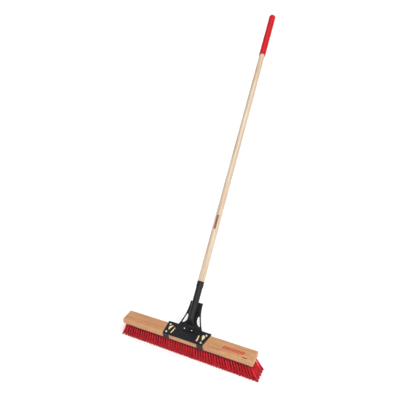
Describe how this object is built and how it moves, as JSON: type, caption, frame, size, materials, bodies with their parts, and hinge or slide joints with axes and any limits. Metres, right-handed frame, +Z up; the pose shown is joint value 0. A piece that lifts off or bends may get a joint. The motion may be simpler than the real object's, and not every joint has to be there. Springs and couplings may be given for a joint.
{
  "type": "push broom",
  "caption": "Push broom with a long wooden block, fanned red bristle tufts, a black steel bracket with a slanted socket tube, and a wooden handle with a red grip.",
  "frame": {"origin": "centre of the plane that the bristle tips stand on, under the middle of the block", "axes": "+X along the block, -Y the front that the broom is pushed towards, +Z up; the handle leans back towards +Y at 45 degrees"},
  "size_m": [0.6543, 1.1859, 1.2313],
  "materials": {
    "block_wood": "clear satin lacquer over tan hardwood with darker streaks",
    "handle_wood": "pale straight-grained hardwood, clear satin lacquer",
    "bristle_red": "red synthetic filaments, slightly glossy",
    "bracket_black": "black powder coat",
    "tube_black": "black powder coat, slightly textured",
    "zinc": "bright zinc plate",
    "grip_rubber": "smooth red rubber"
  },
  "bodies": {
    "head": {"block": "block_wood", "tufts_row_1": "bristle_red", "tufts_row_2": "bristle_red", "tufts_row_3": "bristle_red", "tufts_row_4": "bristle_red", "tufts_row_5": "bristle_red", "tuft_anchors_row_1": "zinc", "tuft_anchors_row_2": "zinc", "tuft_anchors_row_3": "zinc", "tuft_anchors_row_4": "zinc", "tuft_anchors_row_5": "zinc", "bracket": "bracket_black", "socket_tube": "tube_black", "socket_collar": "tube_black", "brace_welds": "tube_black", "tongue_rivets": "zinc", "plate_screws": "zinc"},
    "handle": {"handle": "handle_wood", "grip": "grip_rubber"}
  },
  "joints": [
    {"name": "handle_draw", "type": "slide", "parent": "head", "child": "handle", "axis": [0, 0.7071, 0.7071], "range_m": [0, 0.1]}
  ]
}
